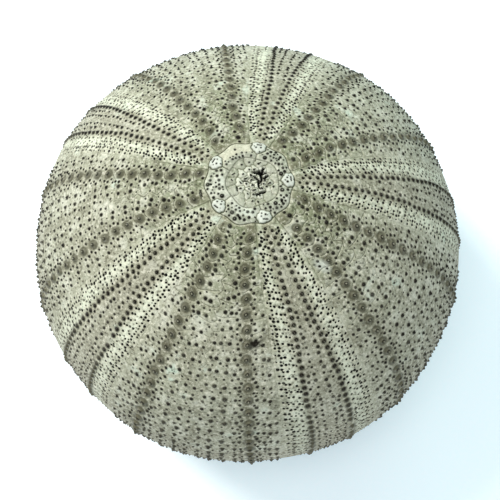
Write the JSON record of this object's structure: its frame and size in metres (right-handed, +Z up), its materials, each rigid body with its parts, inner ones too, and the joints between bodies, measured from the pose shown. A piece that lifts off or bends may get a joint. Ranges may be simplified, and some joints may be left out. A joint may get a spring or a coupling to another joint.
{
  "type": "sea urchin shell",
  "caption": "Dried, spineless sea urchin shell: a hollow, flattened globe with rayed tubercle rows, a plated disc on top and a notched mouth opening below.",
  "frame": {"origin": "middle of the resting plane, under the apex, on the shell's own axis", "axes": "+Z up along the shell's axis from the mouth opening to the apical disc; -Y through the middle of one broad plate field"},
  "size_m": [0.1074, 0.106, 0.074],
  "materials": {
    "calcite": "matte, dry, faintly shiny on the tubercle tips"
  },
  "bodies": {
    "root": {"test": "calcite"}
  },
  "joints": []
}
